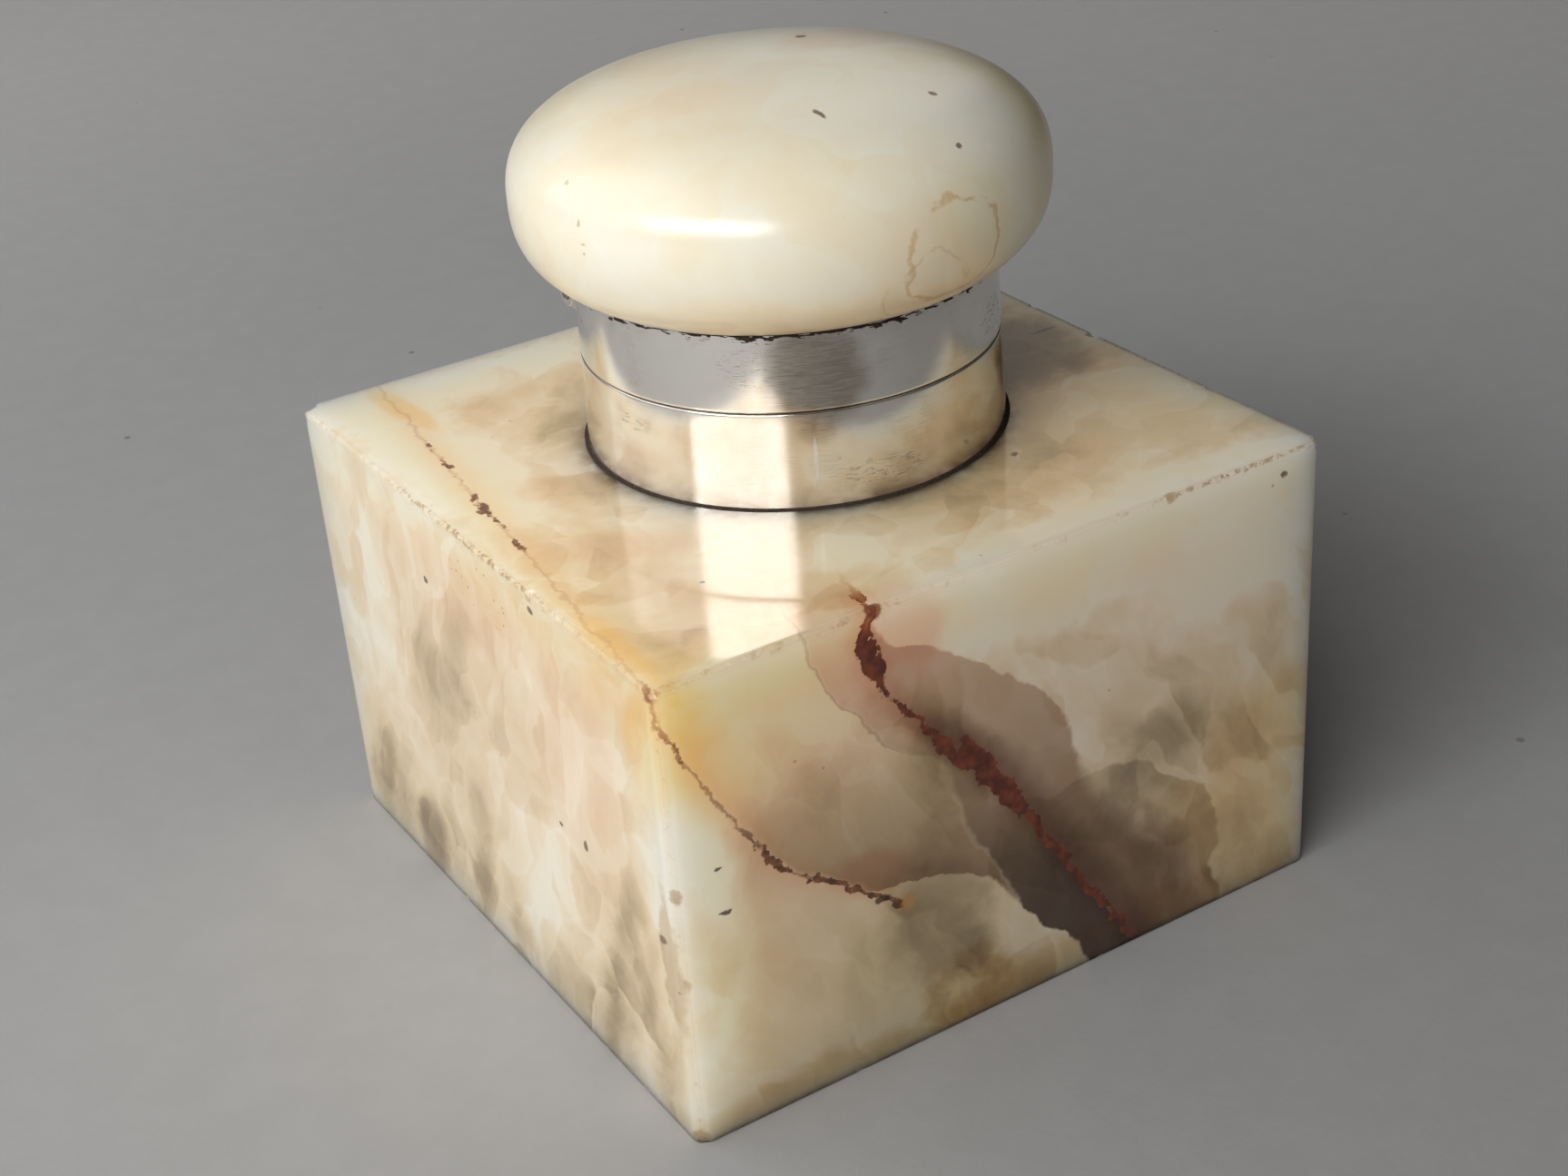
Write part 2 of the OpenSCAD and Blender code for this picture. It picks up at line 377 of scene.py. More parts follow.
# Crisp borders of the smoky bands beside the red vein, as (height, x) on the front face.
BAND_EDGE = [(-1, 27.0), (4, 24.0), (10, 20.0), (14, 16.5), (18, 12.3), (22, 8.7), (26.9, 7.0), (31.2, 5.3),
             (35.3, 2.0), (38.8, -2.1), (42, -6.5), (44.4, -10.0), (45.5, -13.5), (51, -16.0)]
ARCH_EDGE = [(-1, 9.0), (0.5, 8.0), (3.8, 6.7), (7.3, 3.1), (11.9, -0.4), (15, -2.9), (17.7, -7.1),
             (18.9, -10.4), (19.6, -14.5), (21.2, -19.3), (23.8, -22.4), (28, -26.7), (34.5, -31.4),
             (39, -33.8), (51, -39.0)]
UPPER_EDGE = [(-1, 4.0), (8, 1.0), (14.6, -1.6), (16.8, -2.9), (22.4, -6.1), (27.1, -7.6), (31.5, -9.0),
              (33.7, -13.0), (36.1, -15.2), (39.3, -17.4), (42.2, -19.9), (44.4, -20.9), (47.6, -22.5),
              (51, -23.0)]

# Clouds in the stone, and some painted light, by face: (across, up, half width, half height, tilt in degrees,
# paler or darker) and sometimes a tint. across and up are (x, z) on the front, (y, z) on the left and (x, y)
# on the top.
STONE_CLOUDS_AND_PAINTED_LIGHT = {
    "front": [
        # The pale rows at (12, 47), (25, 40), (33, 46), (-36, 24) and (-36, 20) are painted light: the glow
        # of light coming in through the front's top and left edges.
        (12, 47, 30, 6, 4, 0.3, BLUSH), (25, 40, 13, 6, 0, 0.2, BLUSH), (33, 46, 9, 6, 0, 0.16),
        (-36, 24, 5, 20, 0, 0.16), (-6, 31, 4, 7, 35, -0.22), (18, 23, 6, 4.5, 0, -0.16),
        (25, 8, 8, 5, 0, -0.14), (-20, 47, 6, 4, 0, 0.16), (35, 22, 4, 9, 0, 0.14),
        (-10, 14, 6, 9, 0, -0.24), (31, 3, 8, 4, 0, -0.14), (14, 33, 7, 8, 33, 0.05),
        (21, 21, 12, 6, -25, -0.08), (30, 11, 10, 14, 15, -0.07, ORANGE), (14, 0, 26, 5, 0, -0.1, ORANGE),
        (-26, 43, 11, 10, 25, 0.26), (-35, 42, 4, 10, 25, 0.06, PEACH), (-36, 20, 5, 22, 0, 0.12),
        (-27, 14, 12, 11, 0, 0.05, LEAF), (-14, 8, 9, 10, 0, -0.12, LEAF),
        (-22, 1.0, 22, 3, 0, -0.12, ORANGE), (-8, 3, 5, 5, 30, -0.12, ORANGE),
        (-11.5, 46.5, 3.5, 4.0, 10, 0.0, MAUVE), (-17, 22.5, 6, 2.5, -20, -0.06, MAUVE),
        (-26, 37, 5, 5, 40, -0.05, LEAF),
    ],
    "left": [
        (29, 34, 12, 17, 0, 0.18), (8, 29, 6, 3.5, -20, -0.1), (4, 14.5, 3, 4, 0, -0.12),
        (19, 5, 4, 6, -20, -0.24), (11, 2, 26, 6, 0, -0.1), (6, 5, 3, 6, -20, -0.16),
        (-3, 4, 3, 4, -20, -0.14), (31, 8, 3, 8, -20, -0.12), (-2, 34, 3.5, 4.5, -25, 0.12),
        (-27, 12, 4, 18, -22, -0.2), (-35, 12, 4, 16, -12, -0.22), (-21, 5, 3, 9, -22, -0.18),
        (-12, 12, 6, 12, -22, 0.1), (5, 7, 30, 4.5, 0, -0.08), (2, 43, 18, 5, 0, -0.03, BLUSH),
        (-22, 34, 9, 10, -22, 0.0, BLUSH), (-36, 43, 4, 8, -10, 0.03, ORANGE),
    ],
    "top": [
        (-32, 20, 6, 26, 0, 0.28), (-27, 8, 12, 24, 0, 0.08), (-29.5, 29, 1.4, 9, -6, 0.04, ORANGE),
        (-36.5, -28, 1.6, 9, 0, 0.04, ORANGE), (-20, 33, 16, 5, 0, 0.22), (-15, 20, 3, 9, 40, -0.16),
        (-19, 13, 3, 8, 45, -0.12), (-25, 2, 6, 3, 30, -0.12, BLUSH), (-27, -13, 8, 3, 30, -0.06, BLUSH),
        (-18, -24, 10, 5, 20, 0.08), (31, 12, 5, 7, 58, -0.36), (22, -16, 22, 15, 0, 0.06, PEACH),
        (32, 1, 8, 9, 0, -0.18), (28, -7, 6, 5, 0, -0.14), (-5, -5, 60, 60, 0, 0.0, (1.0, 0.955, 0.86)),
        (14, -22, 5, 4, 20, -0.14), (-7, -28, 9, 5, 0, 0.14), (2, -24, 7, 3, 10, -0.1),
        (8, -37, 18, 3, 0, 0.06),
    ],
}
CLOUD_DEPTH = 7.0

# Chips knocked out of the block's edges: (x, y, z, radius) in mm, where a 1 in x, y or z means that face.
FRONT, LEFT, RIGHT, BACK = -HALF, -HALF, HALF, HALF
CHIPS = [
    (LEFT, FRONT, 49.4, 1.1), (LEFT, FRONT, 47.6, 0.6), (LEFT, FRONT, 36.2, 0.5), (LEFT, FRONT, 28.6, 1.0),
    (LEFT, FRONT, 27.0, 0.6), (LEFT, FRONT, 22.4, 0.4), (LEFT, FRONT, 15.4, 0.5), (LEFT, FRONT, 10.0, 0.75),
    (LEFT, FRONT, 5.6, 0.5), (LEFT, FRONT, 0.4, 1.6),
    (LEFT, 10, TOP, 0.6), (LEFT, 4, TOP, 0.5), (LEFT, -5, TOP, 0.6), (LEFT, -9.5, TOP, 0.5),
    (LEFT, -15.5, TOP, 0.9), (LEFT, -21.5, TOP, 0.6), (LEFT, -28, TOP, 0.5), (LEFT, 22, TOP, 0.5),
    (LEFT, BACK, TOP, 2.1), (RIGHT, FRONT, TOP, 1.2), (RIGHT, FRONT, 41, 0.6), (RIGHT, FRONT, 30, 0.5),
    (RIGHT, FRONT, 12, 0.8), (RIGHT, FRONT, 3, 0.7), (3, FRONT, TOP, 0.5), (12, FRONT, TOP, 0.6),
    (19, FRONT, TOP, 0.8), (26, FRONT, TOP, 0.5), (33, FRONT, TOP, 0.7), (-16, FRONT, TOP, 0.6),
    (RIGHT, -22, TOP, 1.1), (RIGHT, -12, TOP, 0.7), (RIGHT, -3, TOP, 1.3), (RIGHT, 8, TOP, 0.8),
    (RIGHT, 19, TOP, 0.9), (RIGHT, 30, TOP, 1.2), (-20, FRONT, 0, 0.6), (10, FRONT, 0, 0.5),
    (LEFT, -20, 0, 0.6), (LEFT, 12, 0, 0.8), (24, BACK, TOP, 0.7), (-8, BACK, TOP, 0.6),
    (RIGHT, BACK, TOP, 1.4), (RIGHT, BACK, 22, 0.8), (33, FRONT - 0.2, 47.6, 0.5),
]

# Stretches of edge with dark dirt in their nicks, as (x, y, z, radius along x, y and z) in mm.
DIRTY_EDGES = [(LEFT, -2, TOP, 0.5, 19, 0.5), (27, FRONT, TOP, 11, 0.4, 0.4), (RIGHT, -4, TOP, 0.5, 24, 0.5)]

# Darker patches on the block's surface: (x, y, z, radius along x, y and z, colour).
DARK_PATCHES = [
    (LEFT, -36.3, 21, 0.7, 1.5, 9, (0.70, 0.63, 0.56)),
    (28.0, 0.0, TOP, 9.5, 10.5, 1.5, (0.40, 0.365, 0.32)),
]

# Small flecks in the block: (x, y, z, radius along x, y and z, colour).
RED = (0.17, 0.04, 0.02)
BROWN = (0.13, 0.08, 0.05)
FLECKS = [
    (34.3, 1.6, TOP, 1.8, 0.35, 1, BROWN),
    (13.2, -21.2, TOP, 0.5, 0.4, 1, BROWN),
    (-24.5, -24.0, TOP, 0.25, 0.3, 1, BROWN),
    (-15.2, -37.9, TOP, 0.9, 0.7, 1.2, RED),
    (-13.2, -HALF, 17.4, 0.9, 1, 0.9, (0.56, 0.31, 0.11)),
    (-16.2, -HALF, 19.0, 0.9, 1, 0.5, (0.05, 0.02, 0.01)),
    (-HALF, -16.2, 25.0, 1, 0.4, 0.3, BROWN),
    (-HALF, -21.2, 25.2, 1, 0.4, 0.6, BROWN),
    (-HALF, -35.2, 22.6, 1, 0.7, 0.5, (0.30, 0.20, 0.13)),
    (-HALF, 9.2, 41.0, 1, 0.6, 0.35, BROWN),
    (-HALF, -15.6, 48.2, 1, 0.6, 0.35, BROWN),
    (33.2, -HALF, 47.7, 0.45, 1, 0.4, BROWN),
    (2.0, -HALF, 16.6, 0.3, 1, 0.3, BROWN),
    (-33.3, -HALF, 29.9, 0.5, 1, 0.2, BROWN),
    (-33.0, -HALF, 25.0, 0.7, 1, 0.25, BROWN),
]


def cloud_mask(g, ragged, face, across, up, half_w, half_h, tilt):
    """1 inside one cloud and 0 outside it, with a border that follows the crystals."""
    axis, centre, radii = {
        "front": ("Y_AXIS", (across, -HALF, up), (half_w, CLOUD_DEPTH, half_h)),
        "left": ("X_AXIS", (-HALF, across, up), (CLOUD_DEPTH, half_w, half_h)),
        "top": ("Z_AXIS", (across, up, TOP), (half_w, half_h, CLOUD_DEPTH)),
    }[face]
    turned = g.fill(g.node("ShaderNodeVectorRotate", rotation_type=axis), Vector=g.place, Center=centre,
                    Angle=math.radians(tilt))
    return g.step(g.math("ADD", g.reach(turned.outputs[0], centre, radii), ragged), 1.35, 0.6)


def along_grain(g, at, squeeze):
    """The place measured along and across the grain, and shortened along it."""
    side = GRAIN.orthogonal().normalized()
    along, *across = [g.vector("DOT_PRODUCT", at, tuple(way)) for way in (GRAIN, side, GRAIN.cross(side))]
    return g.join(g.times(along, squeeze), *across)


def petals(g, at, size, lean, blur):
    """Crystal layers: each cell has its own tone, which drifts across it and stops at a crisp border."""
    cell = g.node("ShaderNodeTexVoronoi", feature="SMOOTH_F1")
    g.fill(cell, Vector=at, Scale=1 / size, Smoothness=blur)
    own = g.parts(cell.outputs["Color"])[0]
    return g.scale_add(cell.outputs["Distance"], lean, own)


def stone_tone(g, at, middle, depth):
    """The onyx's paleness, about middle: big crystal layers, smaller ones, streaks and slow drifts."""
    flowing = g.warped(3.2, 1.5, at=g.warped(24, 16, at=at))
    grained = along_grain(g, flowing, 0.30)
    big = petals(g, grained, 9, 0.7, 0.08)
    small = petals(g, g.vector("ADD", grained, (31, 7, 3)), 4.2, 0.6, 0.12)
    streaks = g.noise(1.5, 3, 0.6, at=along_grain(g, flowing, 0.12))
    drift = g.noise(19, 3, 0.5, at=flowing)
    swing = g.times(g.minus(big, 0.75), 0.17)
    swing = g.scale_add(g.minus(small, 0.75), 0.15, swing)
    swing = g.scale_add(g.minus(streaks, 0.5), 0.15, swing)
    swing = g.scale_add(g.minus(drift, 0.5), 0.5, swing)
    return g.scale_add(swing, depth, middle), big


def edge_distance(g):
    """How far a point on the block's surface is from the nearest edge, in mm."""
    x, y, z = g.parts(g.place)
    dx = g.minus(HALF, g.absolute(x))
    dy = g.minus(HALF, g.absolute(y))
    dz = g.minus(TOP / 2, g.absolute(g.minus(z, TOP / 2)))
    low = g.math("MINIMUM", dx, dy)
    high = g.math("MAXIMUM", dx, dy)
    return g.math("MAXIMUM", low, g.math("MINIMUM", high, dz))


def smoky_bands(g, colour, x, z, depth):
    """The brown and mauve smoke on both sides of the red vein, which stops at crisp borders."""
    into = g.scale_add(depth, -0.25, x)
    main = g.minus(into, g.curve(z, MAIN_VEIN, -20, 30))
    band = g.minus(into, g.curve(z, BAND_EDGE, -20, 30))
    arch = g.minus(into, g.curve(z, ARCH_EDGE, -40, 20))
    upper = g.minus(into, g.curve(z, UPPER_EDGE, -30, 20))
    thin = g.minus(into, g.curve(z, THIN_VEIN, -40, 0))
    reach = g.step(depth, 8, 1.5)
    low = g.step(z, 42, 8)

    warm = g.times(g.step(thin, -0.4, 1.2), g.step(upper, 0.5, -0.5), g.step(arch, -0.3, 0.5), reach)
    colour = g.blend(warm, colour, g.blend(low, (1.0, 0.93, 0.82), (0.34, 0.25, 0.20)), "MULTIPLY")
    left = g.times(g.step(upper, -0.4, 0.6), g.step(main, 0.3, -0.3), g.step(arch, -0.2, 0.3), reach)
    colour = g.blend(left, colour, g.blend(low, (0.86, 0.72, 0.62), (0.13, 0.098, 0.088)), "MULTIPLY")
    fading = g.step(z, 27, 13)
    edge = g.step(band, g.scale_add(fading, 3.5, 0.3), g.scale_add(fading, -4.5, -0.3))
    right = g.times(g.step(main, -0.3, 0.3), edge, reach)
    colour = g.blend(right, colour, g.blend(low, (0.74, 0.62, 0.55), (0.40, 0.32, 0.27)), "MULTIPLY")
    crack = g.times(g.near(upper, 0.26, 0.05), g.step(z, 31, 36), 0.4, reach)
    colour = g.blend(crack, colour, (0.42, 0.24, 0.11))
    smoke = g.times(g.near(g.minus(main, 1.4), 4.0, 0.4), g.step(z, 40, 33), reach)
    return g.blend(smoke, colour, (0.56, 0.49, 0.49), "MULTIPLY")


def red_veins(g, colour, x, y, z, depth):
    """The broad red vein and the thin broken one, as (colour, how much of a vein is here)."""
    tear = g.minus(g.noise(1.1, 4, 0.65), 0.5)
    into = g.scale_add(depth, -0.25, x)
    main = g.minus(into, g.curve(z, MAIN_VEIN, -20, 30))
    main = g.scale_add(tear, 1.6, g.times(main, 0.84))
    wide = g.curve(z, MAIN_WIDTH, 0, 2)
    wide = g.times(wide, g.step(g.noise(2.1, 3, 0.6), 0.28, 0.5))
    halo = g.times(g.near(main, 2.6, 0.3), g.step(depth, 5, 1))
    colour = g.darken(colour, halo, 0.5, (0.85, 0.55, 0.42))
    line = g.times(g.strand(main, wide), g.step(depth, 4.5, 2.0))
    rust = g.blend(g.step(g.noise(1.9, 4, 0.6), 0.36, 0.66), (0.11, 0.02, 0.009), (0.27, 0.06, 0.018))
    colour = g.paint(colour, line, 0.98, rust)
    thread = g.times(g.near(main, 0.42, 0.1), g.step(z, TOP - 2.5, TOP - 0.5), g.step(depth, 9, 3))
    colour = g.paint(colour, thread, 0.5, (0.5, 0.24, 0.09))

    thin = g.minus(g.scale_add(depth, -0.118, x), g.curve(z, THIN_VEIN, -40, 0))
    thin = g.scale_add(tear, 1.2, g.times(thin, 0.72))
    wide_front = g.times(g.curve(z, THIN_FRONT, 0, 1), g.step(depth, 1.2, 0.4))
    wide_top = g.times(g.curve(y, THIN_TOP, 0, 1), g.step(depth, 0.4, 1.2))
    wide = g.math("MAXIMUM", wide_front, wide_top)
    wide = g.times(wide, g.step(g.noise(1.7, 3, 0.6), 0.38, 0.56, 0.1, 1.0))
    glow = g.times(g.near(thin, 2.4, 0.0), g.step(z, 14, 17))
    colour = g.darken(colour, glow, 0.45, (0.98, 0.76, 0.54))
    hair = g.times(g.near(thin, 0.26, 0.05), g.step(z, 17, 19), g.step(depth, 3.0, 0.5, 0.25, 0.6))
    colour = g.blend(hair, colour, (0.36, 0.18, 0.07))
    beads = g.times(g.strand(thin, wide), g.step(z, 14, 16))
    rust = g.blend(g.step(g.noise(1.0, 2, 0.5), 0.35, 0.65), (0.1, 0.038, 0.02), (0.3, 0.105, 0.04))
    colour = g.paint(colour, beads, 0.92, rust)
    return colour, g.math("MAXIMUM", line, beads)


def edge_dirt_and_shade(g, colour):
    """Worn arrises with dirt in their nicks, every arris a little darker (partly dirt, partly painted shade),
    and a soft stain round the collar's foot.
    """
    edge = edge_distance(g)
    # Darker within a millimetre of every edge: partly the dirt line along the worn arrises, partly painted
    # shade that tones down the light on the rounded edges.
    colour = g.blend(g.step(edge, 1.0, 0.3), colour, (0.90, 0.88, 0.85), "MULTIPLY")
    worn = g.times(g.step(edge, 0.9, 0.3), g.step(g.noise(1.3, 3, 0.7), 0.52, 0.68))
    colour = g.darken(colour, worn, 0.4, (0.45, 0.38, 0.3))
    near = g.warped(1.2, 1.2)
    for spot in DIRTY_EDGES:
        line = g.times(g.egg(g.warped(2, 0.5), *spot), g.step(g.noise(0.6, 3, 0.7), 0.46, 0.58))
        colour = g.darken(colour, line, 0.8, (0.42, 0.34, 0.27))
    for *spot, tint in DARK_PATCHES:
        colour = g.darken(colour, g.egg(g.warped(5, 4), *spot), 0.9, tint)
    for x, y, z, radius in CHIPS:
        if radius >= 0.8 and (x == LEFT or y == FRONT) and z > 0:
            stain = g.egg(near, x, y, z, radius * 0.9, radius * 0.9, radius)
            colour = g.darken(colour, stain, 0.7, (0.42, 0.31, 0.22))
    off = g.vector("SUBTRACT", g.place, (CENTRE.x, CENTRE.y, 0))
    ring = g.vector("LENGTH", g.vector("MULTIPLY", off, (1, 1, 0)))
    dirt = g.times(g.step(ring, COLLAR_R + 3.0, COLLAR_R + 0.2), g.step(g.noise(4.5, 3, 0.6), 0.36, 0.6),
                   g.step(g.parts(g.place)[2], TOP - 2, TOP - 0.2))
    colour = g.darken(colour, dirt, 0.8, (0.42, 0.33, 0.26))
    return colour, worn


def block_onyx():
    g = Graph("onyx_block")
    x, y, z = g.parts(g.warped(2.4, 1.6, 4, at=g.warped(13, 1.6)))
    depth = g.math("ADD", y, HALF)
    calm = g.egg(g.place, -26, -HALF, 12, 20, 9, 17)
    tone, big = stone_tone(g, g.vector("ADD", g.place, STONE_SHIFT), 0.74, g.scale_add(calm, -0.55, 1.0))
    ragged = g.scale_add(g.minus(big, 0.75), 0.38, g.minus(g.noise(6, 3, 0.6), 0.5))
    tints = []
    # Some rows are painted light: the pale glow along the front's top and left edges.
    for face, face_marks in STONE_CLOUDS_AND_PAINTED_LIGHT.items():
        for across, up, half_w, half_h, tilt, paler, *tint in face_marks:
            mask = cloud_mask(g, ragged, face, across, up, half_w, half_h, tilt)
            if paler:
                tone = g.scale_add(mask, paler, tone)
            tints += [(mask, own) for own in tint]
    colour = g.ramp(tone, STONE_RAMP)
    for mask, tint in tints:
        colour = g.darken(colour, mask, 0.8, tint)
    colour = smoky_bands(g, colour, x, z, depth)
    colour, vein = red_veins(g, colour, x, y, z, depth)
    roughly = g.warped(0.9, 0.8, 3)
    for *spot, tint in FLECKS:
        colour = g.paint(colour, g.egg(roughly, *spot), 0.85, tint)
    peppered = g.times(g.step(g.cells(1.3), 0.16, 0.08), g.egg(g.place, -HALF, -7, 46, 4, 11, 3.5))
    colour = g.paint(colour, peppered, 0.6, (0.3, 0.2, 0.14))
    colour, worn = edge_dirt_and_shade(g, colour)
    pits = g.dots(3.1, 0.07, 0.035, 11, 0.56, 0.62)
    colour = g.paint(colour, pits, 0.5, (0.18, 0.12, 0.08))

    edge = edge_distance(g)
    gloss = g.scale_add(g.noise(5, 4, 0.7), 0.08, 0.04)
    gloss = g.scale_add(g.math("MAXIMUM", worn, pits), 0.3, gloss)
    gloss = g.scale_add(g.step(edge, 1.0, 0.35), 0.35, gloss)
    g.shade(Base_Color=colour, Roughness=gloss, Subsurface_Weight=1.0, Subsurface_Scale=20.0 * MM,
            Subsurface_Radius=(1.0, 0.92, 0.8), IOR=1.56,
            Specular_IOR_Level=g.step(edge, 0.15, 0.8, 0.2, 0.5))
    height = g.scale_add(pits, -0.7, g.times(vein, -0.35))
    height = g.scale_add(g.noise(3.0, 2, 0.5), 0.05, height)
    g.bump(height, 0.10)
    return g.material


# Flecks in the lid's onyx: (x, y, z, radius along x, y and z, colour); then its hair veins, each the line
# where a hollow egg in the stone meets the surface: (centre, radii, strength, colour).
LID_FLECKS = [
    (-2.0, -13.2, 86.3, 0.32, 1.15, 0.6, (0.17, 0.12, 0.08)),
    (9.9, -14.3, 85.8, 0.35, 0.5, 0.6, (0.20, 0.13, 0.09)),
    (7.2, -22.0, 83.2, 0.35, 0.4, 0.5, (0.20, 0.13, 0.09)),
    (9.4, 7.5, 86.9, 0.7, 0.6, 0.6, (0.28, 0.19, 0.13)),
    (-22.9, -2.3, 82.0, 0.25, 0.3, 1.0, (0.66, 0.53, 0.36)),
    (-23.8, -5.8, 79.2, 0.2, 0.25, 0.5, (0.60, 0.48, 0.33)),
    (-24.1, -6.6, 77.6, 0.2, 0.5, 0.2, (0.60, 0.48, 0.33)),
]
LID_LOOPS = [
    ((3.8, -24.5, 75.2), (5.6, 7.0, 5.0), 0.55, (0.62, 0.42, 0.19)),
    ((1.0, -24.5, 72.2), (4.4, 6.0, 3.4), 0.32, (0.58, 0.45, 0.26)),
]
# Clouds in the lid's onyx: (centre, radii, paler or darker). The pale rows at (18, -16, 79), (6, -14, 85) and
# (14, 10, 86) are painted light, making the lid's shaded right side and its crown paler.
LID_CLOUDS_AND_PAINTED_LIGHT = [
    ((18, -16, 79), (14, 14, 10), 0.26), ((6, -14, 85), (9, 8, 6), 0.12),
    ((-22, -8, 79), (8, 9, 6), 0.08), ((-10, -20, 70), (18, 10, 3.6), -0.26),
    ((14, 10, 86), (18, 14, 5), 0.16), ((-14, 6, 84), (9, 9, 5), -0.08),
]


def lid_onyx():
    g = Graph("onyx_lid")
    tone, _ = stone_tone(g, g.vector("ADD", g.place, LID_SHIFT), 0.76, 0.75)
    # Some of these clouds are painted light: they make the lid's shaded right side and its crown paler.
    for centre, radii, paler in LID_CLOUDS_AND_PAINTED_LIGHT:
        tone = g.scale_add(g.step(g.reach(g.warped(8, 6), centre, radii), 1.3, 0.4), paler, tone)
    colour = g.ramp(tone, LID_RAMP)
    roughly = g.warped(4, 3.5, 5)
    for centre, radii, strength, tint in LID_LOOPS:
        rim = g.near(g.minus(g.reach(roughly, centre, radii), 1), 0.06, 0.01)
        broken = g.step(g.noise(2.5, 3, 0.6), 0.36, 0.52)
        colour = g.paint(colour, g.times(rim, broken), strength, tint)
    glow = g.egg(g.warped(6, 4), 6.5, -24, 77, 5.5, 5, 6)
    colour = g.darken(colour, glow, 0.5, (1.0, 0.9, 0.7))
    # Painted light: a warm tint on the lid's shaded right side, standing for the warm light falling on it.
    warm = g.egg(g.warped(9, 6), 24, -8, 77, 12, 18, 11)
    colour = g.darken(colour, warm, 0.7, (1.0, 0.92, 0.78))
    mauve = g.egg(g.warped(5, 5), 12.2, 4.5, 86.8, 8, 5, 3)
    colour = g.darken(colour, mauve, 0.6, (0.92, 0.85, 0.84))
    closely = g.warped(0.9, 0.7, 3)
    for *spot, tint in LID_FLECKS:
        colour = g.paint(colour, g.egg(closely, *spot), 0.9, tint)
    specks = g.dots(5.0, 0.045, 0.02, 9, 0.5, 0.58)
    colour = g.paint(colour, specks, 0.6, (0.22, 0.15, 0.1))
    gloss = g.scale_add(g.noise(6, 4, 0.7), 0.1, 0.19)
    g.shade(Base_Color=colour, Roughness=gloss, Subsurface_Weight=1.0, Subsurface_Scale=20.0 * MM,
            Subsurface_Radius=(1.0, 0.93, 0.82), IOR=1.56)
    g.bump(g.scale_add(specks, -0.5, g.times(g.noise(4, 2, 0.5), 0.1)), 0.06)
    return g.material


# -------- silver, pitch, glass, wire

# Scrapes across the silver and a patch that is partly brushed duller and partly a painted dark reflection of
# the floor in front, as (x, y, z, radius along x, y and z), and black pits, as (x, y, z, radius), in mm.
SCRAPES = [
    (-13.1, -14.9, 64.6, 3.2, 3.2, 2.4),
    (-19.4, -3.5, 57.2, 2.0, 2.4, 0.8),
    (-2.0, -20.6, 53.0, 6.0, 3.0, 1.6),
    (15.0, -16.5, 63.0, 4.0, 4.0, 2.0),
]
BRUSHED_AND_PAINTED_REFLECTION_PATCH = (-8.0, -18.5, 63.2, 5.5, 4.5, 5.6)
SILVER_PITS = [(-19.8, 2.9, 63.9, 0.28), (3.5, -20.8, 63.7, 0.2), (-6.0, -19.4, 54.9, 0.15),
               (9.3, -19.4, 56.2, 0.14)]
# The end of a soldered seam in the lower collar, as the patch above.
SEAM = (-8.05, -18.5, 55.0, 0.22, 0.4, 2.9)


def silver(name, tint, rough, tarnish):
    """Hand-polished silver: fine scratches round the collar, a few pits, tarnish where polish misses, and a
    painted dark reflection.
    """
    g = Graph(name)
    scratches = g.noise(1.0, 4, 0.75, at=g.stretched(0.5, 0.5, 14))
    crossed = g.noise(1.0, 3, 0.7, at=g.stretched(6, 6, 0.5))
    wear = g.noise(5.5, 4, 0.62)
    pits = g.dots(3.6, 0.06, 0.03, 8, 0.56, 0.62)
    stain = g.times(g.step(wear, 0.5, 0.78), tarnish)
    colour = g.blend(stain, tint, tuple(c * s for c, s in zip(tint, (0.62, 0.52, 0.40))))
    foot = g.times(g.step(g.parts(g.place)[2], TOP + 2.6, TOP + 0.3), g.step(wear, 0.35, 0.6))
    colour = g.darken(colour, foot, 0.45, (0.4, 0.28, 0.18))
    lines = g.step(g.noise(1.0, 3, 0.7, at=g.stretched(0.8, 0.8, 9)), 0.54, 0.62)
    rubbed = g.times(g.step(scratches, 0.5, 0.62), g.step(wear, 0.4, 0.6))
    colour = g.darken(colour, rubbed, 0.5, (0.66, 0.63, 0.58))
    dents = []
    for spot in SCRAPES:
        scraped = g.times(g.egg(g.warped(1.5, 1.2), *spot), lines)
        colour = g.darken(colour, scraped, 0.55, (0.3, 0.28, 0.26))
        dents.append(scraped)
    # Painted reflection: a brushed patch of the collar darkened as if it reflected the darker floor in front.
    dull_and_dark = g.egg(g.warped(6, 5), *BRUSHED_AND_PAINTED_REFLECTION_PATCH)
    dull_and_dark = g.times(dull_and_dark, g.step(scratches, 0.4, 0.6, 0.6, 1.0))
    colour = g.blend(dull_and_dark, colour, (0.52, 0.465, 0.40), "MULTIPLY")
    for *spot, radius in SILVER_PITS:
        pit = g.egg(g.place, *spot, radius, radius, radius)
        colour = g.paint(colour, pit, 0.9, (0.03, 0.025, 0.02))
    colour = g.paint(colour, pits, 0.85, (0.05, 0.035, 0.025))
    roughness = g.scale_add(scratches, 0.1, rough)
    roughness = g.scale_add(wear, 0.08, roughness)
    roughness = g.scale_add(pits, 0.4, roughness)
    for scraped in dents:
        roughness = g.scale_add(scraped, 0.25, roughness)
    seam = g.egg(g.warped(1.0, 0.25), *SEAM)
    roughness = g.scale_add(seam, 0.55, roughness)
    g.shade(Base_Color=colour, Metallic=0.88, Roughness=roughness)
    height = g.math("ADD", g.times(scratches, 0.11), g.times(crossed, 0.06))
    height = g.scale_add(g.noise(4.5, 2, 0.5), 1.2, height)
    g.bump(height, 0.02)
    return g.material


